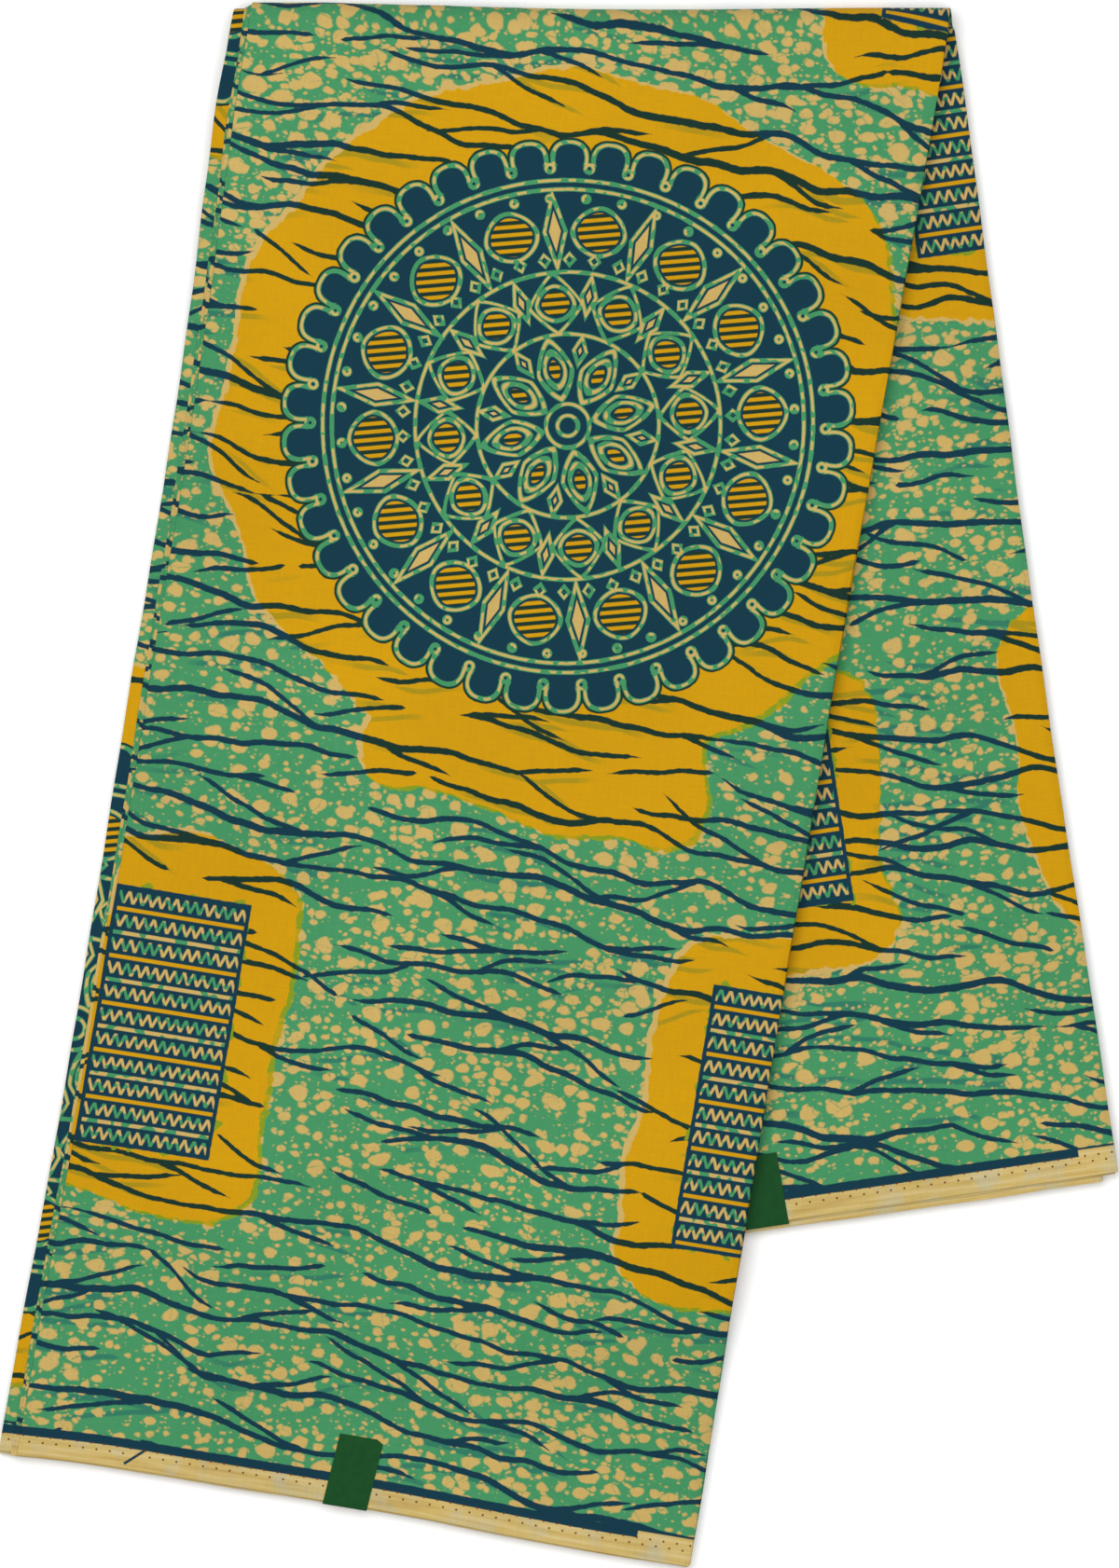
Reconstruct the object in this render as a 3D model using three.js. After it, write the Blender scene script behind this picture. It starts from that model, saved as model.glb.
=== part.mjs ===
// Six yards of wax print cotton, folded across its length into a flat bundle, and the bundle
// folded over once at a slant, so that its two stretches lie on each other as a narrow V.
// Millimetres, +Z up. The fold lies along X at the far end (+Y), the back stretch lies on the
// surface, and the front stretch lies on it and settles down to the surface past its edges.

import * as THREE from 'three';

// Driving sizes.
const CLOTH_WIDTH = 1198; // selvedge to selvedge, along the bundle
const FRONT_LENGTH = 665; // from the fold to the front stretch's selvedge
const BACK_LENGTH = CLOTH_WIDTH - FRONT_LENGTH;
const PANEL_WIDTH = 298; // of the two layers that show
const FOLD_SLANT = THREE.MathUtils.degToRad(8.8); // each stretch leans this much off square
const BUNDLE_THICKNESS = 8; // 18 layers, loosely pressed
const FACE_THICKNESS = 1; // a layer that shows, with the layer turned under it
const SEAM_GAP = 0.3; // clear space between two solids
const REST_GAP = 1; // loose space between the two stretches
const FOLD_SPRING = 2.4; // how much the fold stands proud of the pressed bundle
const SPRING_RUN = 75; // over which the front stretch comes down from the fold
const SETTLE_START = 2; // clear of the back stretch's edge before the front one dips
const SETTLE_RUN = 60; // over which it reaches the surface

// The bundle's hidden layers, in pairs from the front face inward. Each pair's turned edge
// reaches past the middle by left and right, and its selvedge past the face's by front and back.
const HIDDEN_PAIRS = [
  { left: 151.3, right: 148.3, front: 0.4, back: 1.2 },
  { left: 151.8, right: 148.7, front: 0.9, back: 1.6 },
  { left: 157.0, right: 147.9, front: -1.0, back: 2.2 },
  { left: 156.1, right: 148.4, front: -0.5, back: 1.9 },
  { left: 156.6, right: 147.6, front: 0.2, back: 2.7 },
  { left: 155.7, right: 141.7, front: -0.8, back: 3.4 },
  { left: 156.4, right: 148.6, front: 0.3, back: 0.9 },
];
const PAIR_NOTCH = 1.3; // how deep the bundle is notched between two turned edges
const FRONT_FACE_REACH = { left: PANEL_WIDTH / 2, right: PANEL_WIDTH / 2, front: 0, back: 0.6 };
const BACK_FACE_REACH = { left: 156.8, right: PANEL_WIDTH / 2, front: -0.7, back: 0 };

// Folded paper labels, each stuck round a selvedge. middle is across the bundle.
const LABEL_WIDTH = 19.5;
const LABEL_LENGTH = 31.6;
const LABEL_THICKNESS = 0.4;
const FRONT_LABEL = { side: 1, middle: -3.3, overhang: 1.7, turn: 3.5, tuck: 2.2 };
const BACK_LABEL = { side: -1, middle: -5.0, overhang: 4.6, turn: 0.5, tuck: 2.2 };

// Mesh spacing. All layers share their inner columns and rows, and only their edges differ.
const INNER_COLUMNS = 11;
const INNER_WIDTH = PANEL_WIDTH - 6;
const COLUMNS = INNER_COLUMNS + 2;
const BEND_STEPS = 5; // each way from the fold's crest
const EASE_STATIONS = [16, 28, 48, 72];
const FRONT_ROWS = 16;
const BACK_ROWS = 9;
const SLANT_START = 40; // rows lie along the fold up to here
const SLANT_END = 320; // and square to the bundle from here
const LABEL_COLUMNS = 3;
const LABEL_ROWS = 4;

const HALF_THICKNESS = BUNDLE_THICKNESS / 2;
const HIDDEN_THICKNESS = BUNDLE_THICKNESS - 2 * (FACE_THICKNESS + SEAM_GAP);
const BEND_RADIUS = (BUNDLE_THICKNESS + REST_GAP + FOLD_SPRING) / 2;
const HALF_BEND = (BEND_RADIUS * Math.PI) / 2;
const STACK_LIFT = BUNDLE_THICKNESS + REST_GAP;
const COS_SLANT = Math.cos(FOLD_SLANT);
const SIN_SLANT = Math.sin(FOLD_SLANT);
const TAN_SLANT = Math.tan(FOLD_SLANT);

const { smoothstep, lerp } = THREE.MathUtils;

// How high the back stretch carries the front one: 1 over it, 0 well outside its edges.
function carried(x, depth) {
  const across = x * COS_SLANT - depth * SIN_SLANT;
  const along = depth / COS_SLANT + across * TAN_SLANT;
  const pastSide = Math.max(0, -HIDDEN_PAIRS[2].left - across);
  const pastEnd = Math.max(0, along - BACK_LENGTH - HIDDEN_PAIRS[5].back);
  return 1 - smoothstep(Math.hypot(pastSide, pastEnd) - SETTLE_START, 0, SETTLE_RUN);
}

// A point of the bundle: u across it, e along it from the fold (front positive), and w through
// it, outward from its middle. The cloth isn't stretched: only the fold and the settling bend it.
function place(u, e, w) {
  const x = u / COS_SLANT - e * SIN_SLANT;
  const run = e * COS_SLANT;
  const depth = Math.abs(run) - HALF_BEND;
  if (depth <= 0) {
    const angle = run / BEND_RADIUS;
    const radius = BEND_RADIUS + w;
    const centre = HALF_THICKNESS + BEND_RADIUS;
    return new THREE.Vector3(x, radius * Math.cos(angle), centre + radius * Math.sin(angle));
  }
  if (run < 0) return new THREE.Vector3(x, -depth, HALF_THICKNESS - w);
  const spring = FOLD_SPRING * (1 - smoothstep(depth, 0, SPRING_RUN));
  const lift = STACK_LIFT * carried(x, depth) + spring;
  return new THREE.Vector3(x, -depth, HALF_THICKNESS + lift + w);
}

// Stations along the bundle, from the back selvedge to the front one. The first and last stand
// for the selvedges, which differ from layer to layer.
function alongStations() {
  const bend = HALF_BEND / COS_SLANT;
  const lastEase = EASE_STATIONS[EASE_STATIONS.length - 1];
  const side = (length, rows) => {
    const straight = Array.from({ length: rows - 1 }, (_, k) => lerp(lastEase, length, (k + 1) / rows));
    return [...EASE_STATIONS, ...straight, length];
  };
  const back = side(BACK_LENGTH, BACK_ROWS).reverse().map((e) => -e);
  const turn = [];
  for (let k = -BEND_STEPS; k <= BEND_STEPS; k += 1) turn.push((bend * k) / BEND_STEPS);
  return [...back, ...turn, ...side(FRONT_LENGTH, FRONT_ROWS)];
}

const STATIONS = alongStations();
const LAST_ROW = STATIONS.length - 1;

function layerPoint(row, column, level) {
  let u = INNER_WIDTH * ((column - 1) / INNER_COLUMNS - 0.5);
  if (column === 0) u = -level.left;
  if (column === COLUMNS) u = level.right;
  let e = STATIONS[row];
  if (row === 0) e = -BACK_LENGTH - level.back;
  if (row === LAST_ROW) e = FRONT_LENGTH + level.front;
  const squared = smoothstep(Math.abs(e), SLANT_START, SLANT_END);
  return place(u, e + u * TAN_SLANT * squared, level.w);
}

// The rim of the row and column grid, once round.
function rimCells(rows, columns) {
  const cells = [];
  for (let j = 0; j < columns; j += 1) cells.push([0, j]);
  for (let i = 0; i < rows; i += 1) cells.push([i, columns]);
  for (let j = columns; j > 0; j -= 1) cells.push([rows, j]);
  for (let i = rows; i > 0; i -= 1) cells.push([i, 0]);
  return cells;
}

// A closed solid between its first level, which faces outward, and its last: each has a full
// grid of points, and the levels between them only a rim.
function levelledSolid(levels, rows, columns, pointAt) {
  const points = [];
  const triangles = [];
  const rim = rimCells(rows, columns);
  const key = (i, j) => i * (columns + 1) + j;
  const addPoint = (i, j, level) => points.push(pointAt(i, j, level)) - 1;

  const addFace = (level, facesOut) => {
    const ids = [];
    for (let i = 0; i <= rows; i += 1) {
      for (let j = 0; j <= columns; j += 1) ids.push(addPoint(i, j, level));
    }
    for (let i = 0; i < rows; i += 1) {
      for (let j = 0; j < columns; j += 1) {
        const [a, b] = [ids[key(i, j)], ids[key(i, j + 1)]];
        const [c, d] = [ids[key(i + 1, j + 1)], ids[key(i + 1, j)]];
        if (facesOut) triangles.push(a, c, b, a, d, c);
        else triangles.push(a, b, c, a, c, d);
      }
    }
    return rim.map(([i, j]) => ids[key(i, j)]);
  };

  const loops = levels.map((level, k) => {
    if (k === 0) return addFace(level, true);
    if (k === levels.length - 1) return addFace(level, false);
    return rim.map(([i, j]) => addPoint(i, j, level));
  });
  for (let k = 0; k < loops.length - 1; k += 1) {
    for (let n = 0; n < rim.length; n += 1) {
      const next = (n + 1) % rim.length;
      const [a, b] = [loops[k][n], loops[k][next]];
      const [c, d] = [loops[k + 1][next], loops[k + 1][n]];
      triangles.push(a, b, c, a, c, d);
    }
  }

  const geometry = new THREE.BufferGeometry();
  geometry.setAttribute('position', new THREE.Float32BufferAttribute(points.flatMap((p) => p.toArray()), 3));
  geometry.setIndex(triangles);
  geometry.computeVertexNormals();
  return geometry;
}

function inset(reach, amount, w) {
  return {
    left: reach.left - amount,
    right: reach.right - amount,
    front: reach.front - amount,
    back: reach.back - amount,
    w,
  };
}

// A layer that shows: a wall with half-round edges, as its cloth turns under.
function faceLayer(reach, outerW) {
  const edge = [
    { depth: 0, inset: 0.4 },
    { depth: 0.25, inset: 0 },
    { depth: 0.75, inset: 0 },
    { depth: 1, inset: 0.4 },
  ];
  const levels = edge.map((row) => inset(reach, row.inset, outerW - row.depth * FACE_THICKNESS));
  return levelledSolid(levels, LAST_ROW, COLUMNS, layerPoint);
}

// Where two pairs meet, the notch lies inside both of their edges.
function lesser(a, b) {
  return {
    left: Math.min(a.left, b.left),
    right: Math.min(a.right, b.right),
    front: Math.min(a.front, b.front),
    back: Math.min(a.back, b.back),
  };
}

// The layers between: one solid whose edges and ends are rounded in pairs of layers.
function hiddenLayers() {
  const pitch = HIDDEN_THICKNESS / HIDDEN_PAIRS.length;
  const levels = [];
  HIDDEN_PAIRS.forEach((pair, k) => {
    const top = HIDDEN_THICKNESS / 2 - k * pitch;
    const above = HIDDEN_PAIRS[Math.max(0, k - 1)];
    levels.push(inset(lesser(pair, above), PAIR_NOTCH, top));
    levels.push(inset(pair, 0, top - 0.25 * pitch));
    levels.push(inset(pair, 0, top - 0.75 * pitch));
  });
  levels.push(inset(HIDDEN_PAIRS[HIDDEN_PAIRS.length - 1], PAIR_NOTCH, -HIDDEN_THICKNESS / 2));
  return levelledSolid(levels, LAST_ROW, COLUMNS, layerPoint);
}

// A paper label: one leg lies on the face, and the other turns down past the selvedges.
function paperLabel({ side, middle, overhang, turn, tuck }) {
  const selvedge = side > 0 ? FRONT_LENGTH : BACK_LENGTH;
  const lift = HALF_THICKNESS + SEAM_GAP + LABEL_THICKNESS;
  const tilt = THREE.MathUtils.degToRad(turn);
  const levels = [{ sink: 0 }, { sink: LABEL_THICKNESS }];
  const pointAt = (row, column, level) => {
    const step = side > 0 ? row : LABEL_ROWS - row;
    const across = lerp(-LABEL_WIDTH / 2, LABEL_WIDTH / 2, column / LABEL_COLUMNS);
    const edge = selvedge + overhang - level.sink;
    const turned = step === LABEL_ROWS;
    const back = turned ? 0 : LABEL_LENGTH * (1 - step / (LABEL_ROWS - 1));
    const v = edge - back * Math.cos(tilt);
    const u = middle + across + back * Math.sin(tilt);
    const w = turned ? lift - tuck : lift - level.sink;
    return place(u, side * v + u * TAN_SLANT, side * w);
  };
  const order = side > 0 ? levels : [...levels].reverse();
  return levelledSolid(order, LABEL_ROWS, LABEL_COLUMNS, pointAt);
}

function part(name, geometry, color, roughness) {
  const material = new THREE.MeshStandardMaterial({ color, roughness, metalness: 0 });
  const mesh = new THREE.Mesh(geometry, material);
  mesh.name = name;
  return mesh;
}

const bundle = new THREE.Group();
bundle.add(
  part('front_face_layer', faceLayer(FRONT_FACE_REACH, HALF_THICKNESS), 0x3f9a66, 0.8),
  part('hidden_layers', hiddenLayers(), 0xcdb26b, 0.85),
  part('back_face_layer', faceLayer(BACK_FACE_REACH, FACE_THICKNESS - HALF_THICKNESS), 0x3f9a66, 0.8),
  part('front_label', paperLabel(FRONT_LABEL), 0x145a2c, 0.5),
  part('back_label', paperLabel(BACK_LABEL), 0x145a2c, 0.5),
);

// The bundle lies on its origin, the middle of its footprint.
const box = new THREE.Box3().setFromObject(bundle);
const middle = box.getCenter(new THREE.Vector3());
bundle.position.set(-middle.x, -middle.y, -box.min.z);

export default bundle;
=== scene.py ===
"""Dresses a folded length of wax print cotton round its fixed frame."""

import math
from functools import partial, reduce

import bpy
from bpy.props import FloatProperty, FloatVectorProperty, PointerProperty
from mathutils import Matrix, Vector


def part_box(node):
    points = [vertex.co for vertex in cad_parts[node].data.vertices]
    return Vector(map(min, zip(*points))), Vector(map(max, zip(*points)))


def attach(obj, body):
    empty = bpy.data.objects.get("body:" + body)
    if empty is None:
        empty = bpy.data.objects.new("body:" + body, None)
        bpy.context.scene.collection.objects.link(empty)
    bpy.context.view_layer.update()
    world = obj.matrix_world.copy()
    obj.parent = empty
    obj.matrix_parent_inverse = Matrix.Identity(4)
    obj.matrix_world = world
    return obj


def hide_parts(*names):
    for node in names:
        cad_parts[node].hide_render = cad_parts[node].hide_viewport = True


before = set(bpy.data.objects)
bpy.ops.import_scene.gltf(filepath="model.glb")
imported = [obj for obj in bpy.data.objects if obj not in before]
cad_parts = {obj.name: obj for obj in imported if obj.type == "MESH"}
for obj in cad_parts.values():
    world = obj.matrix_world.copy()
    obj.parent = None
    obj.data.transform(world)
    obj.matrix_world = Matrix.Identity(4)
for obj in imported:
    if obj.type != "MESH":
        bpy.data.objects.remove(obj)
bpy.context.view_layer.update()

bl_info = {
    "name": "Folded wax print",
    "version": (1, 0, 0),
    "blender": (4, 5, 0),
    "location": "3D View > Sidebar > Folded cloth",
    "description": "Builds a folded bundle of wax print cotton, its layers, selvedges and labels",
    "category": "Object",
}

MM = 0.001
BODY = "root"
CLOTH_UV = "cloth"


def linear(code):
    """The linear colour of an sRGB hex code."""
    parts = [int(code[i:i + 2], 16) / 255 for i in (0, 2, 4)]
    return [c / 12.92 if c <= 0.04045 else ((c + 0.055) / 1.055) ** 2.4 for c in parts]


def length_property(name, description, default):
    return FloatProperty(name=name, description=description, default=default, unit="LENGTH", precision=4)


def colour_property(name, description, code):
    return FloatVectorProperty(
        name=name, description=description, default=linear(code), subtype="COLOR", min=0, max=1
    )


class BundleSizes(bpy.types.PropertyGroup):
    """Sizes of the folded bundle, in metres."""
    front_length: length_property("Front length", "From the fold to the front selvedge", 0.665)
    back_length: length_property("Back length", "From the fold to the back selvedge", 0.533)
    panel_width: length_property("Panel width", "Width of the two layers that show", 0.298)
    thickness: length_property("Bundle thickness", "All the layers, loosely pressed", 0.008)
    cloth: length_property("Cloth thickness", "One layer of cotton", 0.0003)
    rest_gap: length_property("Rest gap", "Loose space between the two stretches", 0.001)
    fold_spring: length_property("Fold spring", "How far the fold stands proud", 0.0024)
    spring_run: length_property("Spring run", "Over which the front stretch comes down", 0.075)
    settle_start: length_property("Settle start", "Clear of the back stretch's edge", 0.002)
    settle_run: length_property("Settle run", "Over which the front reaches the surface", 0.060)
    turn_under: length_property("Turn under", "How deep the shown layer's edges turn under", 0.012)
    slant: FloatProperty(
        name="Fold slant", description="Each stretch leans this much off square to the fold",
        default=math.radians(8.8), subtype="ANGLE",
    )


class PrintColours(bpy.types.PropertyGroup):
    """Dyes of the wax print, marks on its selvedges, painted highlight and shade along the selvedges,
    and the labels' paper.
    """
    ground: colour_property("Ground", "Green dye of the ground", "459361")
    bubble: colour_property("Bubble", "Undyed cotton where the wax held", "CBAC64")
    patch: colour_property("Patch", "Golden yellow dye", "CF9A07")
    stroke: colour_property("Stroke", "Dark teal outline dye", "0F3848")
    stroke_on_patch: colour_property("Stroke on patch", "Outline dye over yellow", "17342A")
    overlap: colour_property("Overlap", "Yellow over green, at a patch's rim", "84981E")
    ghost: colour_property("Ghost", "Faint stroke under the ground", "2B7261")
    ghost_on_patch: colour_property("Ghost on patch", "Faint stroke on yellow", "86841C")
    selvedge: colour_property("Selvedge", "Undyed band along the selvedge", "CDB26B")
    # Painted highlight: a paler colour for the light on the curled selvedge.
    painted_highlight_streak: colour_property("Pale streak", "Rubbed cotton on the selvedge", "DBC68E")
    # Painted shade: a darker colour for the shade on the curled selvedge.
    painted_shade_streak: colour_property("Grubby streak", "Handled cotton on the selvedge", "B08D4A")
    smudge: colour_property("Smudge", "Green-grey smear on the selvedge", "B4BCAC")
    pin_hole: colour_property("Pin hole", "Rusty marks of the stenter's pins", "6A3512")
    label: colour_property("Label", "Dark green paper", "0C3E17")
    label_mottle: colour_property("Label mottle", "Paler green in the paper", "11481F")


# Edges of the hidden layers, in pairs from the front face inward, in mm: how far each turned
# edge reaches past the middle, and each selvedge past the face's. print is how much further on
# along the cloth the pair's print is.
HIDDEN_PAIRS = (
    # left, right, front, back, print
    (150.4, 147.6, 0.4, -0.2, -15.0),
    (151.8, 147.8, 0.9, 0.3, -18.0),
    (157.0, 147.3, -1.0, 0.2, 487.0),
    (156.1, 147.6, -0.5, -0.4, 330.0),
    (156.6, 142.4, 0.2, 2.9, 282.0),
    (155.7, 141.7, -0.8, 3.4, 436.0),
    (156.4, 148.0, 0.3, 0.9, 512.0),
)
# The same for the two faces, without print.
FRONT_FACE = (149.0, 148.6, 0.0, -0.6)
BACK_FACE = (156.8, 149.0, -0.7, 0.0)

# Soft creases in the shown layers, in mm: u across and v along the bundle at each end, how wide
# and how high. v is negative on the back stretch.
CREASES = (
    # u0, v0, u1, v1, width, height
    (-120.0, 12.0, -96.0, 74.0, 9.0, 0.45),
    (-70.0, 10.0, -62.0, 52.0, 7.0, 0.35),
    (18.0, 11.0, 10.0, 60.0, 10.0, 0.40),
    (104.0, 10.0, 92.0, 88.0, 9.0, 0.50),
    (-142.0, 120.0, -128.0, 236.0, 8.0, 0.40),
    (-140.0, 330.0, -133.0, 470.0, 7.0, 0.35),
    (138.0, 250.0, 130.0, 380.0, 8.0, 0.40),
    (-20.0, 420.0, 74.0, 448.0, 14.0, 0.45),
    (-118.0, 590.0, -60.0, 650.0, 12.0, 0.55),
    (120.0, 600.0, 146.0, 652.0, 10.0, 0.60),
    (30.0, 640.0, 52.0, 664.0, 9.0, 0.45),
    (128.0, -60.0, 140.0, -190.0, 8.0, 0.35),
    (60.0, -330.0, 128.0, -352.0, 12.0, 0.35),
    (112.0, -470.0, 140.0, -528.0, 9.0, 0.50),
    (20.0, -500.0, 40.0, -532.0, 8.0, 0.40),
)

# How far the bundle strays from straight edges in its own plane, and the ranges over which each
# change sets in: the left side narrows, the right side widens near the fold, the back's right
# side spreads, the front selvedge is hollow, the back is stretched and the fold is hollow.
HALF_PANEL = 0.149
LEFT_NARROWING = 0.0032
NARROWING_START = (0.02, 0.20)
NARROWING_END = (0.43, 0.68)
RIGHT_WIDENING = 0.0032
WIDENING_END = (0.02, 0.34)
BACK_SPREAD = 0.0016
SPREAD_START = (0.22, 0.50)
FRONT_HOLLOW = 0.0027
HOLLOW_LEFT = (-0.175, -0.105)
HOLLOW_RIGHT = (0.0, 0.112)
HOLLOW_START = (0.40, 0.65)
BACK_STRETCH = 0.0023
STRETCH_START = (0.15, 0.53)
FOLD_HOLLOW = 0.0018
FOLD_HOLLOW_MIDDLE = 0.008
FOLD_HOLLOW_HALF = 0.14
FOLD_HOLLOW_RUN = 0.12

# Where the mesh's rows turn from along the fold to square to the bundle, and the mesh's steps.
SLANT_RUN = (0.040, 0.320)
BEND_STEPS = 12
ROW_STEP = 0.0072
COLUMN_STEP = 0.0055
EDGE_COLUMNS = (0.0007, 0.0013, 0.0020, 0.0028, 0.0045)
TURN_STEPS = 6
SMOOTH_BELOW = math.radians(42)

# The shown layers' turned edges: they sway, spring up at both sides and droop at the right.
TURN_RADIUS = 0.0003
EDGE_SWAY = 0.0003
EDGE_SPRING = 0.0004
SPRING_ROOT = (-0.0006, 0.0028)
SPRING_REACH = (0.003, 0.013)
EDGE_DROOP = 0.00045
DROOP_REACH = 0.0034
LOOSE_FROM_FOLD = (0.02, 0.07)
CREASED_FROM_FOLD = (-0.012, 0.004)
CREASED_FROM_EDGE = (0.0005, 0.009)

# The hidden layers, which are wider than the panel that shows, and their rims.
LAYERS_IN_PAIR = 2
FACE_DEPTH = 0.0010
SLIT_DEPTH = 0.0024
LIP_ROUNDING = 0.0009
LIP_END_ROUNDING = 0.00005
HIDDEN_SWAY = 0.00035
LEFT_SCALLOP = 1.8
SCALLOP_RUN = (0.04, 0.14)
RIM_MARGIN = 0.003
LEAST_COLUMN = 0.0004

# Paper labels. side is 1 on the front stretch and -1 on the back one, the rest is in mm.
LABELS = (
    {"name": "front_label", "side": 1, "middle": -4.0, "overhang": 1.4, "turn": 4.6, "corner": 3.0},
    {"name": "back_label", "side": -1, "middle": -5.3, "overhang": 1.7, "turn": -1.6, "corner": 0.0},
)
LABEL_WIDTH = 0.0195
LABEL_LENGTH = 0.0316
LABEL_TUCK = 0.0022
LABEL_PAPER = 0.00016
LABEL_LIFT = 0.00024
LABEL_TURN_RADIUS = 0.0006
LABEL_CURL = 0.00022
CURL_ACROSS = (0.005, 0.010)
CURL_BACK = (0.004, 0.03)
LABEL_ROWS = 20
LABEL_COLUMNS = 12


def smoothstep(value, start, end):
    t = min(1.0, max(0.0, (value - start) / (end - start)))
    return t * t * (3 - 2 * t)


def ripple(position, seed):
    """A smooth uneven wave between about -1 and 1, the same each run."""
    waves = ((0.021, 1.7), (0.047, 2.9), (0.113, 4.1))
    total = sum(math.sin(position * rate * 1000 + seed * phase) for rate, phase in waves)
    return total / len(waves)


class Fold:
    """Where a point of the flat-folded bundle lies once the bundle is folded over."""

    def __init__(self, sizes):
        self.sizes = sizes
        self.half = sizes.thickness / 2
        self.radius = (sizes.thickness + sizes.rest_gap + sizes.fold_spring) / 2
        self.half_bend = self.radius * math.pi / 2
        self.lift = sizes.thickness + sizes.rest_gap
        self.cos = math.cos(sizes.slant)
        self.sin = math.sin(sizes.slant)
        self.tan = math.tan(sizes.slant)
        self.origin = Vector((0, 0, 0))
        self.origin = self.frame_origin()

    def frame_origin(self):
        """The fold's place in the frame, from the face layers' boxes."""
        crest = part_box("front_face_layer")[1][1]
        corner = self.row_point(-BACK_FACE[0] * MM, self.sizes.front_length + BACK_FACE[2] * MM, 0)
        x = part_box("back_face_layer")[0][0] - corner.x
        return Vector((x, crest - self.radius - self.half, 0))

    def carried(self, x, depth):
        """How high the back stretch carries the front one, from 1 over it to 0 past its edges."""
        across = x * self.cos - depth * self.sin
        along = depth / self.cos + across * self.tan
        past_side = max(0.0, -HIDDEN_PAIRS[2][0] * MM - across)
        past_end = max(0.0, along - self.sizes.back_length - HIDDEN_PAIRS[5][3] * MM)
        past = math.hypot(past_side, past_end) - self.sizes.settle_start
        return 1 - smoothstep(past, 0, self.sizes.settle_run)

    def uneven(self, u, e):
        """The hand-folded bundle's small unevenness in its own plane."""
        leftward = smoothstep(-u, -HALF_PANEL, HALF_PANEL)
        narrowed = smoothstep(e, *NARROWING_START) * (1 - smoothstep(e, *NARROWING_END))
        across = LEFT_NARROWING * leftward * narrowed
        across += RIGHT_WIDENING * (1 - leftward) * (1 - smoothstep(abs(e), *WIDENING_END))
        across += BACK_SPREAD * (1 - leftward) * smoothstep(-e, *SPREAD_START)
        middle = smoothstep(u, *HOLLOW_LEFT) * (1 - smoothstep(u, *HOLLOW_RIGHT))
        along = -FRONT_HOLLOW * middle * smoothstep(e, *HOLLOW_START)
        along -= BACK_STRETCH * smoothstep(-e, *STRETCH_START)
        return u + across, e + along

    def place(self, u, e, w):
        """u across the bundle, e along it from the fold, w outward from its middle layer."""
        u, e = self.uneven(u, e)
        x = u / self.cos - e * self.sin
        run = e * self.cos
        depth = abs(run) - self.half_bend
        y = -depth
        if depth <= 0:
            angle = run / self.radius
            reach = self.radius + w
            y = reach * math.cos(angle)
            z = self.half + self.radius + reach * math.sin(angle)
        elif run < 0:
            z = self.half - w
        else:
            spring = self.sizes.fold_spring * (1 - smoothstep(depth, 0, self.sizes.spring_run))
            z = self.half + self.lift * self.carried(x, depth) + spring + w
        from_middle = min(1.0, abs(x - FOLD_HOLLOW_MIDDLE) / FOLD_HOLLOW_HALF)
        hollow = FOLD_HOLLOW / 2 * (1 + math.cos(math.pi * from_middle))
        y -= hollow * (1 - smoothstep(abs(run), 0, FOLD_HOLLOW_RUN))
        return self.origin + Vector((x, y, z))

    def slanted(self, u, e):
        """e on a row that runs along the fold near it, and square to the bundle far from it."""
        return e + u * self.tan * smoothstep(abs(e), *SLANT_RUN)

    def row_point(self, u, e, w):
        return self.place(u, self.slanted(u, e), w)

    def flat(self, u, e):
        """The point's place on the flat bundle."""
        return u, self.slanted(u, e) - u * self.tan


def stations(fold, front, back):
    """Rows along the bundle, from the back selvedge to the front one."""
    bend = fold.half_bend / fold.cos

    def side(end):
        count = round((end - bend) / ROW_STEP)
        return [bend + (end - bend) * (i + 1) / count for i in range(count)]

    turn = [bend * i / BEND_STEPS for i in range(-BEND_STEPS, BEND_STEPS + 1)]
    return [-e for e in reversed(side(back))] + turn + side(front)


def crease_height(u, v):
    """Height of the soft creases at a point of the flat bundle."""
    total = 0.0
    for u0, v0, u1, v1, width, height in CREASES:
        du, dv = (u1 - u0) * MM, (v1 - v0) * MM
        pu, pv = u - u0 * MM, v - v0 * MM
        t = min(1.0, max(0.0, (pu * du + pv * dv) / (du * du + dv * dv)))
        gap = math.hypot(pu - t * du, pv - t * dv) / (width * MM)
        if gap < 3:
            total += height * MM * math.exp(-gap * gap) * math.sin(math.pi * (0.15 + 0.7 * t))
    return total


def make_object(context, name, points, faces, flat, shifts=None):
    """A mesh object with its place on the flat cloth as a UV map. Shifts, one a face, move a
    face's print along the cloth."""
    mesh = bpy.data.meshes.new(name)
    mesh.from_pydata(points, [], faces)
    layer = mesh.uv_layers.new(name=CLOTH_UV)
    for polygon in mesh.polygons:
        shift = shifts[polygon.index] if shifts else 0.0
        for loop in polygon.loop_indices:
            along, across = flat[mesh.loops[loop].vertex_index]
            layer.data[loop].uv = (along + shift, across)
    made = bpy.data.objects.new(name, mesh)
    context.collection.objects.link(made)
    bpy.ops.object.select_all(action="DESELECT")
    made.select_set(True)
    context.view_layer.objects.active = made
    bpy.ops.object.shade_smooth_by_angle(angle=SMOOTH_BELOW)
    return made


def finish_piece(made, material, node_name):
    """Give a sheet its material, attach it to the body it rides on, and hide the CAD part it stands for.
    """
    made.data.materials.append(material)
    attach(made, BODY)
    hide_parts(node_name)


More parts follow.
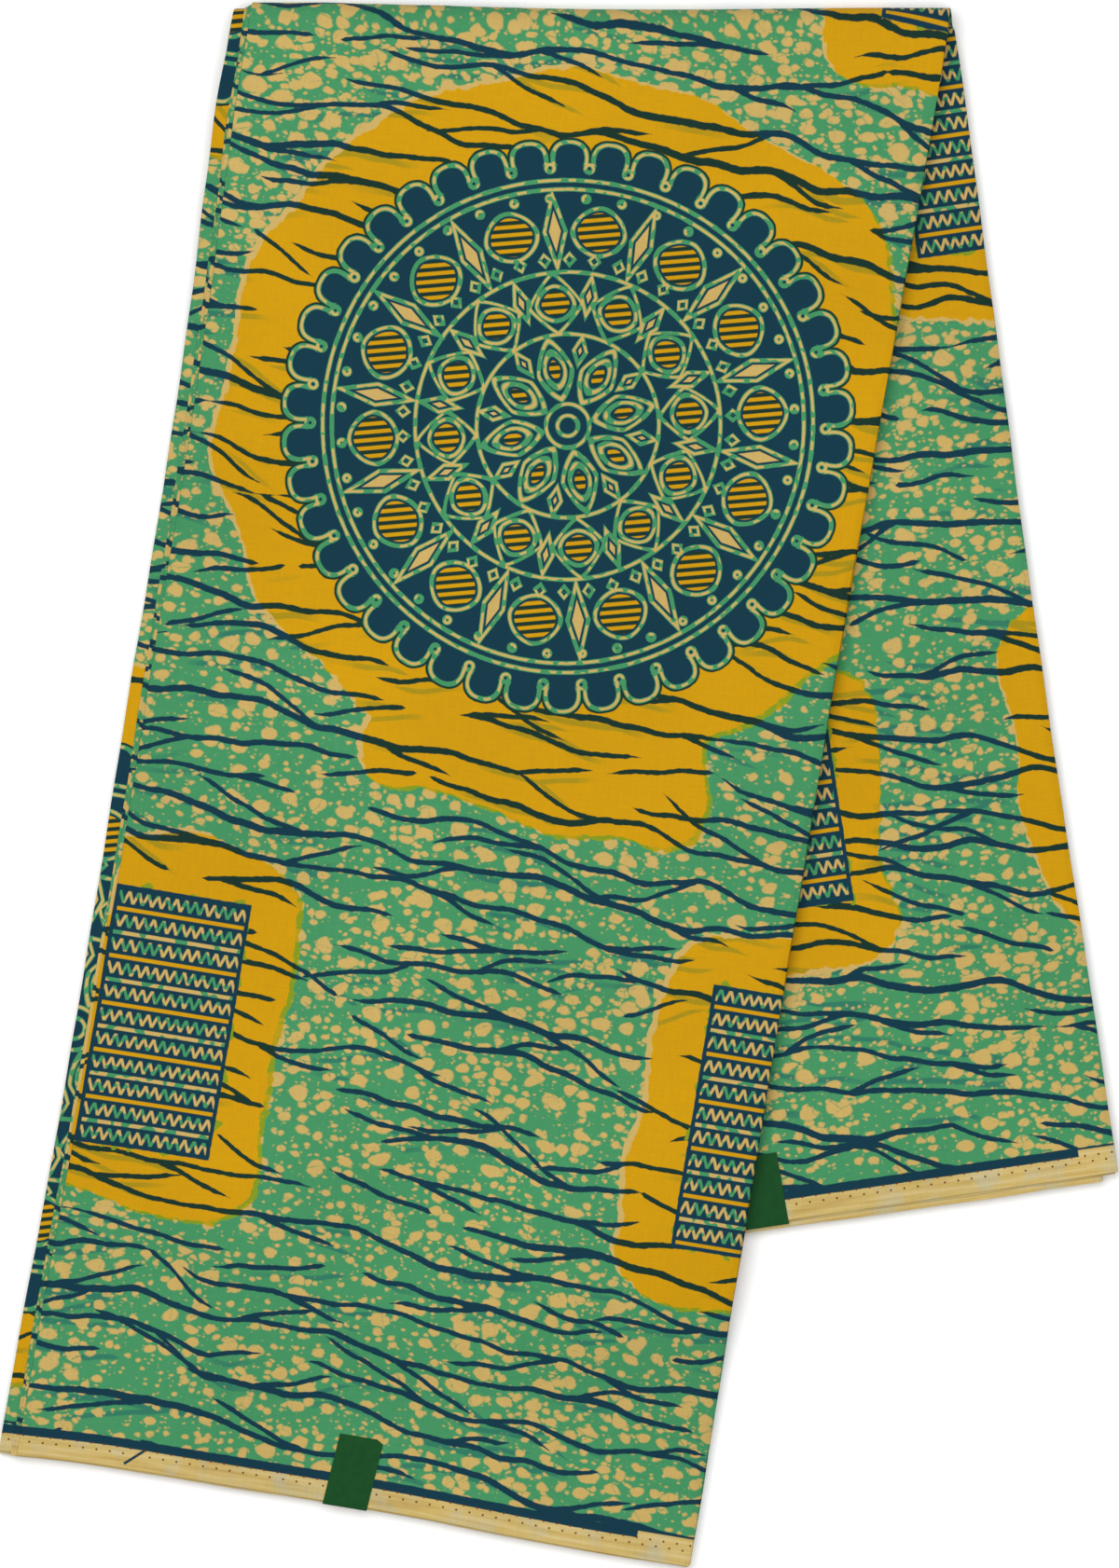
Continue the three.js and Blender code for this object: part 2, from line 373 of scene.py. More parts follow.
def sheet_section(sizes, reach_left, reach_right, outward):
    """The cut across a shown layer: its middle line with both edges turned under.

    Each point is u, w, the normal's two parts and the place along the cloth."""
    top = (sizes.thickness - sizes.cloth) / 2
    bottom = top - 2 * TURN_RADIUS
    edge = TURN_RADIUS + sizes.cloth / 2
    left, right = -reach_left + edge, reach_right - edge
    under = sizes.turn_under

    def turn(centre, side, start):
        for i in range(TURN_STEPS + 1):
            angle = start * (1 - 2 * i / TURN_STEPS)
            across, up = math.cos(angle) * side, math.sin(angle)
            yield centre + across * TURN_RADIUS, top - TURN_RADIUS + up * TURN_RADIUS, across, up

    first, last = left + EDGE_COLUMNS[-1], right - EDGE_COLUMNS[-1]
    count = round((last - first) / COLUMN_STEP)
    face = [left + step for step in EDGE_COLUMNS]
    face += [first + (last - first) * i / count for i in range(1, count)]
    face += [right - step for step in reversed(EDGE_COLUMNS)]
    line = [(left + under / part, bottom, 0, -1) for part in (1, 2)]
    line += turn(left, -1, -math.pi / 2)
    line += [(u, top, 0, 1) for u in face]
    line += turn(right, 1, math.pi / 2)
    line += [(right - under / part, bottom, 0, -1) for part in (2, 1)]

    along = left - under - math.pi * TURN_RADIUS
    section = []
    for i, (u, w, across, up) in enumerate(line):
        if i:
            along += math.hypot(u - line[i - 1][0], w - line[i - 1][1])
        section.append((u, w * outward, across, up * outward, along))
    return section


def shell_faces(rows, columns, flipped):
    """Faces of a closed thin shell whose points come in pairs, outer then inner."""
    row = 2 * columns
    loop = [*range(0, row, 2), *range(row - 1, 0, -2)]
    faces = []
    for start in range(0, (rows - 1) * row, row):
        for one, other in zip(loop, loop[1:] + loop[:1]):
            faces.append((start + one, start + row + one, start + row + other, start + other))
    for near in range(0, row - 2, 2):
        far = (rows - 1) * row + near
        faces.append((near, near + 2, near + 3, near + 1))
        faces.append((far, far + 1, far + 3, far + 2))
    return [tuple(reversed(face)) for face in faces] if flipped else faces


def shown_layer(context, name, reach, outward, seed, node_name):
    """One shown layer, from selvedge to selvedge: a closed thin shell. outward is 1 for the
    outermost layer and -1 for the innermost one."""
    sizes = context.scene.bundle_sizes
    fold = Fold(sizes)
    left, right, front, back = (value * MM for value in reach)
    section = sheet_section(sizes, left, right, outward)
    rows = stations(fold, sizes.front_length + front, sizes.back_length + back)
    middle = (right - left) / 2
    points, flat = [], []
    for e in rows:
        loose = smoothstep(e * outward, *LOOSE_FROM_FOLD)
        creased = smoothstep(e * outward, *CREASED_FROM_FOLD)
        for u, w, across, up, along in section:
            sway = ripple(e, seed + (1 if u > middle else 0)) * EDGE_SWAY
            u_here = u + sway * smoothstep(abs(u - middle), (left + right) / 4, (left + right) / 2)
            place_u, place_v = fold.flat(u_here, e)
            from_edge = min(u + left, right - u)
            spring = EDGE_SPRING * smoothstep(from_edge, *SPRING_ROOT)
            spring *= 1 - smoothstep(from_edge, *SPRING_REACH)
            droop = EDGE_DROOP * (1 - smoothstep(right - u, 0.0, DROOP_REACH))
            raised = loose * (spring - droop)
            if up * outward > 0.5:
                crease = creased * crease_height(place_u, place_v)
                raised += crease * smoothstep(from_edge, *CREASED_FROM_EDGE)
            for offset in (sizes.cloth / 2, -sizes.cloth / 2):
                height = w + raised * outward + up * offset
                points.append(fold.row_point(u_here + across * offset, e, height))
                flat.append((along, place_v))
    faces = shell_faces(len(rows), len(section), outward < 0)
    made = make_object(context, name, points, faces, flat)
    finish_piece(made, printed_cotton(context), node_name)


class BUNDLE_OT_front_stretch(bpy.types.Operator):
    """Build the outermost layer: on top of the front stretch, round the fold and under the back"""
    bl_idname = "bundle.front_stretch"
    bl_label = "Front stretch"

    def execute(self, context):
        shown_layer(context, "front_face_cloth", FRONT_FACE, 1, 3.0, "front_face_layer")
        return {"FINISHED"}


class BUNDLE_OT_back_stretch(bpy.types.Operator):
    """Build the innermost layer: on top of the back stretch and under the front one"""
    bl_idname = "bundle.back_stretch"
    bl_label = "Back stretch"

    def execute(self, context):
        shown_layer(context, "back_face_cloth", BACK_FACE, -1, 11.0, "back_face_layer")
        return {"FINISHED"}


def hidden_levels(sizes):
    """Levels through the hidden layers, outermost first: w, the pair's row, and how far in from
    the pair's reach the level lies at its turned sides and at its selvedge ends. None is the
    floor of a slit."""
    count = len(HIDDEN_PAIRS) * LAYERS_IN_PAIR
    top = sizes.thickness / 2 - FACE_DEPTH
    pitch = 2 * top / count
    slit = pitch - sizes.cloth
    levels = []
    for k in range(count):
        pair, second = divmod(k, LAYERS_IN_PAIR)
        upper = top - k * pitch - slit / 2
        lower = upper - sizes.cloth
        turned, joined = LIP_ROUNDING, LIP_ROUNDING / 8
        outer, inner = (joined, turned) if second else (turned, joined)
        levels.append((upper, pair, outer, LIP_END_ROUNDING))
        levels.append(((upper + lower) / 2, pair, LIP_ROUNDING * 0.4, 0.0))
        levels.append((lower, pair, inner, LIP_END_ROUNDING))
        if k < count - 1:
            levels.append((lower - slit / 2, pair, None if second else 0.0, None))
    return levels


def rim_of(rows, columns):
    """The rim of a grid, once round, as row and column numbers."""
    rim = [(0, j) for j in range(columns)]
    rim += [(i, columns) for i in range(rows)]
    rim += [(rows, j) for j in range(columns, 0, -1)]
    rim += [(i, 0) for i in range(rows, 0, -1)]
    return rim


def hidden_block(context, name):
    """The layers between the two faces: one body whose rim shows every layer."""
    sizes = context.scene.bundle_sizes
    fold = Fold(sizes)
    rows = stations(fold, sizes.front_length, sizes.back_length)
    last_row = len(rows) - 1
    inner = sizes.panel_width / 2 - RIM_MARGIN
    columns = round(2 * inner / COLUMN_STEP) + 2
    points, flat, faces, shifts = [], [], [], []

    def reach(pair, side, at, inset):
        value = HIDDEN_PAIRS[pair][side] * MM
        if inset is None:
            other = HIDDEN_PAIRS[min(pair + 1, len(HIDDEN_PAIRS) - 1)][side] * MM
            value = min(value, other) - SLIT_DEPTH
        scallop = LEFT_SCALLOP * (side == 0) * (1 - smoothstep(at, *SCALLOP_RUN))
        wave = ripple(at, pair * 1.9 + side * 5.3) * HIDDEN_SWAY * (1 + scallop)
        return value + wave - (inset or 0)

    def add_point(i, j, level):
        w, pair, side_in, end_in = level
        e = rows[i]
        left = -reach(pair, 0, e, side_in) + j * LEAST_COLUMN
        right = reach(pair, 1, e, side_in) - (columns - j) * LEAST_COLUMN
        u = min(max(left, 2 * inner * ((j - 1) / (columns - 2) - 0.5)), right)
        u = {0: left, columns: right}.get(j, u)
        if i == 0:
            e = -sizes.back_length - reach(pair, 3, u, end_in)
        if i == last_row:
            e = sizes.front_length + reach(pair, 2, u, end_in)
        points.append(fold.row_point(u, e, w))
        flat.append(fold.flat(u, e))
        return len(points) - 1

    def add_face(level, *corners):
        faces.append(corners)
        shifts.append(HIDDEN_PAIRS[level[1]][4] * MM)

    def add_grid(level, outward):
        ids = [[add_point(i, j, level) for j in range(columns + 1)] for i in range(last_row + 1)]
        for near, far in zip(ids, ids[1:]):
            for j in range(columns):
                face = (near[j], far[j], far[j + 1], near[j + 1])
                add_face(level, *face[::outward])
        return [ids[i][j] for i, j in rim]

    rim = rim_of(last_row, columns)
    levels = hidden_levels(sizes)
    loops = [add_grid(levels[0], 1)]
    loops += [[add_point(i, j, level) for i, j in rim] for level in levels[1:-1]]
    loops.append(add_grid(levels[-1], -1))
    for upper, lower, level in zip(loops, loops[1:], levels[1:]):
        for n in range(len(rim)):
            following = (n + 1) % len(rim)
            add_face(level, upper[n], upper[following], lower[following], lower[n])
    return make_object(context, name, points, faces, flat, shifts)


class BUNDLE_OT_hidden_layers(bpy.types.Operator):
    """Build the layers between the two faces, which show at the bundle's edges and ends"""
    bl_idname = "bundle.hidden_layers"
    bl_label = "Hidden layers"

    def execute(self, context):
        block = hidden_block(context, "hidden_layers_cloth")
        cotton = printed_cotton(context)
        finish_piece(block, cotton, "hidden_layers")
        return {"FINISHED"}


def label_path():
    """The cut along a label: how far back from its turned edge, and how far down, with normals."""
    path = []
    for i in range(LABEL_ROWS + 1):
        part = i / LABEL_ROWS
        path.append((LABEL_LENGTH * (1 - part) + LABEL_TURN_RADIUS * part, 0.0, 0.0, 1.0))
    for i in range(1, TURN_STEPS + 1):
        forward, up = (turn(math.pi / 2 * i / TURN_STEPS) for turn in (math.sin, math.cos))
        path.append((LABEL_TURN_RADIUS * (1 - forward), LABEL_TURN_RADIUS * (1 - up), forward, up))
    path += [(0.0, down, 1.0, 0.0) for down in ((LABEL_TUCK + LABEL_TURN_RADIUS) / 2, LABEL_TUCK)]
    return path


def paper_label(context, spec):
    """A stuck paper label: a thin closed shell that turns down past the selvedges."""
    sizes = context.scene.bundle_sizes
    fold = Fold(sizes)
    side = spec["side"]
    selvedge = sizes.front_length if side > 0 else sizes.back_length
    edge = selvedge + spec["overhang"] * MM
    lift = fold.half + LABEL_LIFT + LABEL_PAPER / 2
    tilt = math.radians(spec["turn"])
    corner = spec["corner"] * MM
    points, flat = [], []
    path = label_path()
    for back, down, forward, up in path:
        from_top = LABEL_LENGTH - back
        narrowed = 0.0
        if from_top < corner:
            narrowed = corner - math.sqrt(corner ** 2 - (corner - from_top) ** 2)
        for j in range(LABEL_COLUMNS + 1):
            across = -LABEL_WIDTH / 2 + (LABEL_WIDTH - narrowed) * j / LABEL_COLUMNS
            curl = LABEL_CURL * smoothstep(abs(across), *CURL_ACROSS) * smoothstep(back, *CURL_BACK)
            for face in (LABEL_PAPER / 2, -LABEL_PAPER / 2):
                v = edge - back * math.cos(tilt) + forward * face
                u = spec["middle"] * MM + across + back * math.sin(tilt)
                w = lift - down + curl + up * face
                points.append(fold.place(u, side * v + u * fold.tan, side * w))
                flat.append((across, from_top + down))
    faces = shell_faces(len(path), LABEL_COLUMNS + 1, False)
    made = make_object(context, spec["name"] + "_paper", points, faces, flat)
    finish_piece(made, label_paper(context), spec["name"])


class BUNDLE_OT_labels(bpy.types.Operator):
    """Stick the two bare paper labels round the selvedges"""
    bl_idname = "bundle.labels"
    bl_label = "Paper labels"

    def execute(self, context):
        for spec in LABELS:
            paper_label(context, spec)
        return {"FINISHED"}


# Materials. Settings that nodes of a kind have here unless a call says otherwise.
USUAL_SETTINGS = {
    "Mix": {"data_type": "RGBA"},
    "TexNoise": {"noise_dimensions": "2D"},
    "TexVoronoi": {"voronoi_dimensions": "2D"},
    "TexWhiteNoise": {"noise_dimensions": "2D"},
}


def node(tree, kind, *values, out=0, **settings):
    """Add a node and give one of its outputs. A kind in capitals is a Math node's operation, and
    another may end in its operation. Values go to its sockets in order, and settings are its
    properties or, where they start with a capital, its sockets' names."""
    kind, _, operation = ("Math:" + kind if kind.isupper() else kind).partition(":")
    made = tree.nodes.new(kind if kind.startswith("Node") else "ShaderNode" + kind)
    if operation:
        made.operation = operation
    settings = {**USUAL_SETTINGS.get(kind, {}), **settings}
    sockets = {name: settings.pop(name) for name in list(settings) if name[0].isupper()}
    for name, value in settings.items():
        setattr(made, name, value)
    pairs = list(zip([socket for socket in made.inputs if socket.enabled], values))
    pairs += [(made.inputs[name.replace("_", " ")], value) for name, value in sockets.items()]
    for socket, value in pairs:
        if isinstance(value, bpy.types.NodeSocket):
            tree.links.new(value, socket)
        else:
            socket.default_value = value
    shown = [socket for socket in made.outputs if socket.enabled]
    return shown[out] if shown else None


def chain(add, kind, values):
    """Join any number of values, two at a time, by one operation."""
    return reduce(partial(add, kind), values)


def new_group(name, inputs, outputs):
    """A new node group: its tree, what adds a node to it, and its input values."""
    tree = bpy.data.node_groups.new(name, "ShaderNodeTree")
    for way, names in (("INPUT", inputs), ("OUTPUT", outputs)):
        for socket in names:
            tree.interface.new_socket(name=socket, in_out=way, socket_type="NodeSocketFloat")
    given = tree.nodes.new("NodeGroupInput").outputs
    return tree, partial(node, tree), *(given[socket] for socket in inputs)


def new_material(name):
    """An empty material, and what adds a node to it."""
    material = bpy.data.materials.new(name)
    material.use_nodes = True
    material.node_tree.nodes.clear()
    return material, partial(node, material.node_tree)


def mottled(add, at, size, detail, swing=1.0, base=0.0, **settings):
    """A base value with soft noise round it: its blobs are size mm wide, and it swings by swing
    in all."""
    noise = add("TexNoise", Vector=at, Scale=1 / size, Detail=detail, **settings)
    return add("MULTIPLY_ADD", add("SUBTRACT", noise, 0.5), swing, base)


def mask(add, depth, sharpness=3.0):
    """1 where a depth in mm is above 0, with a soft step as wide as the print's bleed."""
    return add("MULTIPLY_ADD", depth, sharpness, 0.5, use_clamp=True)


def paint(add, under, depth, dye, sharpness=3.0, within=1.0):
    """Lay a dye over a colour where a depth in mm is above 0, within a mask."""
    where = add("MULTIPLY", mask(add, depth, sharpness), within)
    return add("Mix", where, under, dye)


STROKE_SPACING = 15.5
STROKE_WANDER = 12.0
STROKE_WANDER_LENGTH = 62.0
STROKE_SWELL_LENGTH = 84.0
STROKE_HALF_WIDTH = 1.2
STROKE_LEAN = 0.07
FORK_CELL = 74.0
FORK_LENGTH = 26.0


def stroke_row_group():
    """One row of wandering brush strokes with forks, all in mm."""
    tree, add, along, across, step = new_group("stroke row", ("Along", "Across", "Row"), ("Depth",))
    row = add("ADD", add("FLOOR", add("DIVIDE", across, STROKE_SPACING)), step)
    key = add("MULTIPLY", row, 3.71)
    wander_at = add("CombineXYZ", add("DIVIDE", along, STROKE_WANDER_LENGTH), key)
    wander = mottled(add, wander_at, 1.0, 2.0, 2 * STROKE_WANDER, Roughness=0.42)
    base = add("MULTIPLY", add("ADD", row, 0.5), STROKE_SPACING)
    off = add("SUBTRACT", across, add("ADD", base, wander))
    swell_at = add("CombineXYZ", add("DIVIDE", along, STROKE_SWELL_LENGTH), add("ADD", key, 41.3))
    swell = add("TexNoise", Vector=swell_at, Scale=1.0, Detail=0.0)
    # A stroke ends where its swell is low.
    gap = add("MULTIPLY", add("SUBTRACT", swell, 0.35), 38.0)
    half = add("MINIMUM", add("MULTIPLY_ADD", swell, 1.4, 0.5), gap)
    main = add("SUBTRACT", half, add("ABSOLUTE", off))

    turned = add("ADD", add("DIVIDE", along, FORK_CELL), add("MULTIPLY", row, 0.37))
    cell = add("FLOOR", turned)
    chance = add("SeparateColor", add("TexWhiteNoise", add("CombineXYZ", cell, row), out=1))
    first, second, third = chance.node.outputs
    onward = add("FRACT", turned)
    backward = add("SUBTRACT", 1.0, onward)
    way = add("Mix", add("GREATER_THAN", second, 0.5), onward, backward, data_type="FLOAT")
    past = add("MULTIPLY", add("SUBTRACT", way, add("MULTIPLY", first, 0.3)), FORK_CELL)
    side = add("SIGN", add("SUBTRACT", third, 0.5))
    spread = add("ADD", add("PINGPONG", third, 0.25), 0.20)
    easing = add("MULTIPLY_ADD", past, -0.0042, 1.0)
    drift = chain(add, "MULTIPLY", (past, spread, side, easing))
    fork_off = add("ABSOLUTE", add("SUBTRACT", off, drift))
    length = add("MULTIPLY_ADD", second, FORK_LENGTH, FORK_LENGTH)
    taper = add("MULTIPLY", add("SUBTRACT", length, past), 0.16)
    taper = chain(add, "MINIMUM", (taper, STROKE_HALF_WIDTH * 0.92, add("MULTIPLY", past, 0.6)))
    fork = add("SUBTRACT", taper, fork_off)
    add("NodeGroupOutput", add("SMOOTH_MAX", main, fork, 1.6))
    return tree


def strokes_group():
    """The whole field of brush strokes: three rows near each point."""
    tree, add, along, across = new_group("brush strokes", ("Along", "Across"), ("Depth",))
    # The strokes lean, one way on the front stretch and the other way on the back one.
    lean = add("MAXIMUM", add("MINIMUM", add("DIVIDE", across, 75.0), 1.0), -2.7)
    lean = add("MULTIPLY", lean, -STROKE_LEAN)
    across = add("MULTIPLY_ADD", along, lean, across)
    row = stroke_row_group()
    rows = [add("Group", along, across, step, node_tree=row) for step in (-1.0, 0.0, 1.0)]
    add("NodeGroupOutput", chain(add, "MAXIMUM", rows))
    return tree


BUBBLES = (
    # cell, least and greatest radius, gap between neighbours, in mm
    (10.4, -0.3, 4.3, 0.8),
    (6.7, -1.3, 2.9, 0.5),
    (4.2, -1.9, 1.65, 0.4),
    (2.1, -2.4, 0.6, 0.2),
)
BUBBLE_BEND = 2.0
BUBBLE_STRETCH = (0.82, 1.12, 0.0)
CRACK_CELL = 9.5


def bubbles_group():
    """Cream bubbles where the wax resisted the dye, with cracks and specks, all in mm."""
    tree, add, along, across = new_group("wax bubbles", ("Along", "Across"), ("Cream",))
    flat = add("CombineXYZ", along, across)
    rough = add("TexNoise", Vector=flat, Scale=1 / 7.0, Detail=0.7, out=1)
    rough = add("VectorMath:SUBTRACT", rough, (0.5, 0.5, 0.5))
    bent = add("VectorMath:ADD", flat, add("VectorMath:SCALE", rough, Scale=BUBBLE_BEND))
    bent = add("VectorMath:MULTIPLY", bent, BUBBLE_STRETCH)
    # More wax was left near the fold.
    waxier = add("ABSOLUTE", add("ADD", across, 40.0))
    waxier = add("MULTIPLY_ADD", waxier, -1 / 330, 1.15, use_clamp=True)
    crowd = mottled(add, flat, 80.0, 1.0, 0.6, add("MULTIPLY", waxier, 0.18))
    blobs = []
    for cell, least, most, gap in BUBBLES:
        near, wall = (
            add("TexVoronoi", Vector=bent, Scale=1 / cell, Randomness=0.85, feature=feature)
            for feature in ("F1", "DISTANCE_TO_EDGE")
        )
        chance = add("SeparateColor", near.node.outputs["Color"])
        radius = add("MULTIPLY_ADD", chance, most - least, least)
        radius = add("MULTIPLY_ADD", crowd, 0.4 * cell, radius)
        blob = add("MULTIPLY_ADD", near, -cell, radius)
        inside = add("MULTIPLY_ADD", wall, cell, -gap)
        blobs.append(add("SMOOTH_MIN", blob, inside, 0.36 * cell))
    cracks = add("TexVoronoi", Vector=bent, Scale=1 / CRACK_CELL, feature="DISTANCE_TO_EDGE")
    patchy = mottled(add, flat, 12.0, 0.0, 0.8, -0.10)
    crack = add("SUBTRACT", add("MULTIPLY", cracks, CRACK_CELL), patchy)
    depth = add("MINIMUM", chain(add, "MAXIMUM", blobs), crack)
    depth = mottled(add, flat, 1.6, 1.0, 0.7, depth)
    add("NodeGroupOutput", add("MULTIPLY_ADD", depth, 1.5, 0.55, use_clamp=True))
    return tree


def ring_group():
    """A ring of like motifs about a centre. The power shapes them: 1 is a diamond, 2 an oval and
    less than 1 a four-pointed star."""
    tree, add, radius, turn, count, phase, middle, half_across, half_out, power = new_group(
        "ring of motifs",
        ("Radius", "Turn", "Count", "Phase", "Middle", "Half across", "Half out", "Power"),
        ("Depth",),
    )
    sector = add("FRACT", add("MULTIPLY_ADD", turn, count, phase))
    sector = add("ABSOLUTE", add("SUBTRACT", sector, 0.5))
    arc = add("DIVIDE", add("MULTIPLY", radius, math.tau), count)
    across = add("DIVIDE", add("MULTIPLY", sector, arc), half_across)
    outward = add("DIVIDE", add("ABSOLUTE", add("SUBTRACT", radius, middle)), half_out)
    total = add("ADD", add("POWER", across, power), add("POWER", outward, power))
    size = add("POWER", total, add("DIVIDE", 1.0, power))
    least = add("MINIMUM", half_across, half_out)
    add("NodeGroupOutput", add("MULTIPLY", add("SUBTRACT", 1.0, size), least))
    return tree


# The print's layout, in mm: places are along and across the cloth.
REPEAT = 660.0
REPEAT_START = -170.0
ROSETTES = ((14.0, 183.0), (330.0, -57.0), (330.0, 477.0))
ROSETTE_RADIUS = 126.0
HALOS = (
    # yellow patches round the rosettes: centre, half width, half height and margin
    (14.0, 183.0, 0.0, 0.0, 154.0),
    (24.0, 314.0, 54.0, 16.0, 24.0),
    (330.0, -57.0, 0.0, 0.0, 150.0),
    (330.0, 477.0, 0.0, 0.0, 156.0),
)
PANELS = (
    # centre, half width, half height, margin of the patch round it and how far along the patch
    # is off centre
    (-119.0, 468.5, 30.0, 57.0, 23.0, 0.0),
    (154.0, 470.5, 36.0, 58.0, 25.0, 0.0),
    (156.5, -70.5, 37.0, 58.0, 27.0, 0.0),
    (22.5, -362.5, 30.5, 37.5, 30.0, -14.0),
    (172.0, -356.0, 14.0, 44.0, 28.0, 0.0),
)


def layout_group():
    """Where each point lies in the repeat: its place from the nearest rosette, and how deep it
    is in a yellow patch and in a panel, all in mm."""
    outputs = ("X", "Y", "Patch", "Panel")
    tree, add, along, across = new_group("print layout", ("Along", "Across"), outputs)
    turn = add("FLOOR", add("MULTIPLY_ADD", along, 1 / REPEAT, -REPEAT_START / REPEAT))
    here = add("CombineXYZ", add("MULTIPLY_ADD", turn, -REPEAT, along), across)
    place, *others = [add("VectorMath:SUBTRACT", here, (*centre, 0.0)) for centre in ROSETTES]
    for off in others:
        nearer = add("LESS_THAN", add("VectorMath:LENGTH", off), add("VectorMath:LENGTH", place))
        place = add("Mix", nearer, place, off, data_type="VECTOR")

    def beyond(x, y, half_width, half_height):
        """How far a point is past a box's sides, each way."""
        off = add("VectorMath:ABSOLUTE", add("VectorMath:SUBTRACT", here, (x, y, 0.0)))
        return add("VectorMath:SUBTRACT", off, (half_width, half_height, 0.0))

    patches, panels = [], []
    for x, y, *half, margin in (*HALOS, *((x + slip, *rest) for x, *rest, slip in PANELS)):
        outside = add("VectorMath:MAXIMUM", beyond(x, y, *half), (0.0, 0.0, 0.0))
        patches.append(add("SUBTRACT", margin, add("VectorMath:LENGTH", outside)))
    for *box, _, _ in PANELS:
        edges = add("SeparateXYZ", beyond(*box))
        panels.append(add("MULTIPLY", add("MAXIMUM", edges, edges.node.outputs[1]), -1.0))
    flat = add("CombineXYZ", along, across)
    patch = mottled(add, flat, 48.0, 0.0, 17.0, chain(add, "MAXIMUM", patches))
    patch = mottled(add, flat, 5.0, 1.0, 2.4, patch)
    spot = add("SeparateXYZ", place)
    add("NodeGroupOutput", spot, spot.node.outputs[1], patch, chain(add, "MAXIMUM", panels))
    return tree


ROSETTE_RINGS = (
    # count, phase, middle radius, half across, half out, power, what fills it
    (40.0, 0.0, 99.5, 1.3, 1.3, 2.0, "bubble"),
    (14.0, 0.0, 85.5, 11.4, 10.6, 1.75, "hatch"),
    (14.0, 0.5, 85.0, 4.6, 16.0, 1.0, "bubble"),
    (12.0, 0.0, 53.5, 11.5, 13.0, 1.15, "none"),
    (12.0, 0.0, 53.5, 8.2, 7.6, 1.75, "hatch"),
    (12.0, 0.5, 57.0, 3.2, 8.5, 1.0, "bubble"),
    (8.0, 0.0, 25.0, 7.6, 13.0, 1.3, "none"),
    (8.0, 0.0, 25.0, 4.4, 7.6, 1.7, "hatch"),
    (8.0, 0.5, 33.0, 2.8, 6.0, 1.0, "bubble"),
    (42.0, 0.0, 72.5, 2.2, 2.6, 1.0, "ground"),
)
ROSETTE_CIRCLES = (107.5, 103.5, 67.0, 40.0, 9.5, 4.5)
ROSETTE_FILLS = ("hatch", "bubble", "ground")
SCALLOPS = 42.0
LINE_HALF = 0.58
LINE_EDGE = 0.42
LINE_CLEAR = 2.0


def rosette_group():
    """A rosette of concentric rings: base is its dark disc, line its pale linework, and hatch,
    bubble and ground are what fills the motifs."""
    tree, add, x, y = new_group("rosette", ("X", "Y"), ("base", "line", *ROSETTE_FILLS))
    radius = add("VectorMath:LENGTH", add("CombineXYZ", x, y))
    turn = add("DIVIDE", add("ARCTAN2", y, x), math.tau)
    ring = ring_group()

    def motifs(*shape):
        return add("Group", radius, turn, *shape, node_tree=ring)

    def drawn(depth):
        """A line along where a depth is 0."""
        return add("SUBTRACT", LINE_HALF, add("ABSOLUTE", depth))

    lobes = motifs(SCALLOPS, 0.0, ROSETTE_RADIUS - 8.5, 9.4, 9.0, 2.4)
    base = add("MAXIMUM", lobes, add("SUBTRACT", ROSETTE_RADIUS - 9.5, radius))
    past_disc = add("SUBTRACT", radius, ROSETTE_RADIUS - 11.5)
    lines = [drawn(motifs(SCALLOPS, 0.5, ROSETTE_RADIUS - 13.0, 1.7, 1.7, 2.0))]
    lines.append(add("MINIMUM", drawn(add("SUBTRACT", lobes, LINE_CLEAR)), past_disc))
    lines += [drawn(add("SUBTRACT", radius, circle)) for circle in ROSETTE_CIRCLES]
    fills = {fill: [] for fill in (*ROSETTE_FILLS, "none")}
    for *shape, fill in ROSETTE_RINGS:
        depth = motifs(*shape)
        lines.append(drawn(depth))
        fills[fill].append(add("SUBTRACT", depth, LINE_CLEAR))
    filled = [chain(add, "MAXIMUM", fills[fill]) for fill in ROSETTE_FILLS]
    add("NodeGroupOutput", base, chain(add, "MAXIMUM", lines), *filled)
    return tree


PANEL_BAND = 10.4
PANEL_BAR = 1.7
PANEL_START = 6.0
PANEL_FRAME = 1.8
ZIGZAG_PITCH = 4.2
ZIGZAG_RISE = 5.4
ZIGZAG_HALF = 0.62


def panel_group():
    """A lattice panel: rows of zigzag between bars."""
    tree, add, x, y = new_group("lattice panel", ("X", "Y"), ("line", "bar"))
    band = add("FRACT", add("DIVIDE", y, PANEL_BAND))
    height = add("MULTIPLY", add("SUBTRACT", band, 0.5), PANEL_BAND)
    swing = add("SUBTRACT", add("PINGPONG", x, ZIGZAG_PITCH / 2), ZIGZAG_PITCH / 4)
    slope = 2 * ZIGZAG_RISE / ZIGZAG_PITCH
    near = add("ABSOLUTE", add("MULTIPLY_ADD", swing, -slope, height))
    near = add("DIVIDE", near, math.hypot(1, slope))
    from_middle = add("ABSOLUTE", height)
    tip = add("SUBTRACT", ZIGZAG_RISE / 2, from_middle)
    line = add("MINIMUM", add("SUBTRACT", ZIGZAG_HALF, near), tip)
    add("NodeGroupOutput", line, add("SUBTRACT", from_middle, (PANEL_BAND - PANEL_BAR) / 2))
    return tree


# How far the yellow dye slips off its place, across, and along as its middle and half range.
YELLOW_SLIP = 1.3
YELLOW_SLIP_ALONG = (1.45, 0.85)
GHOST_SLIP = (9.0, 2.8)
HATCH_PITCH = 3.6

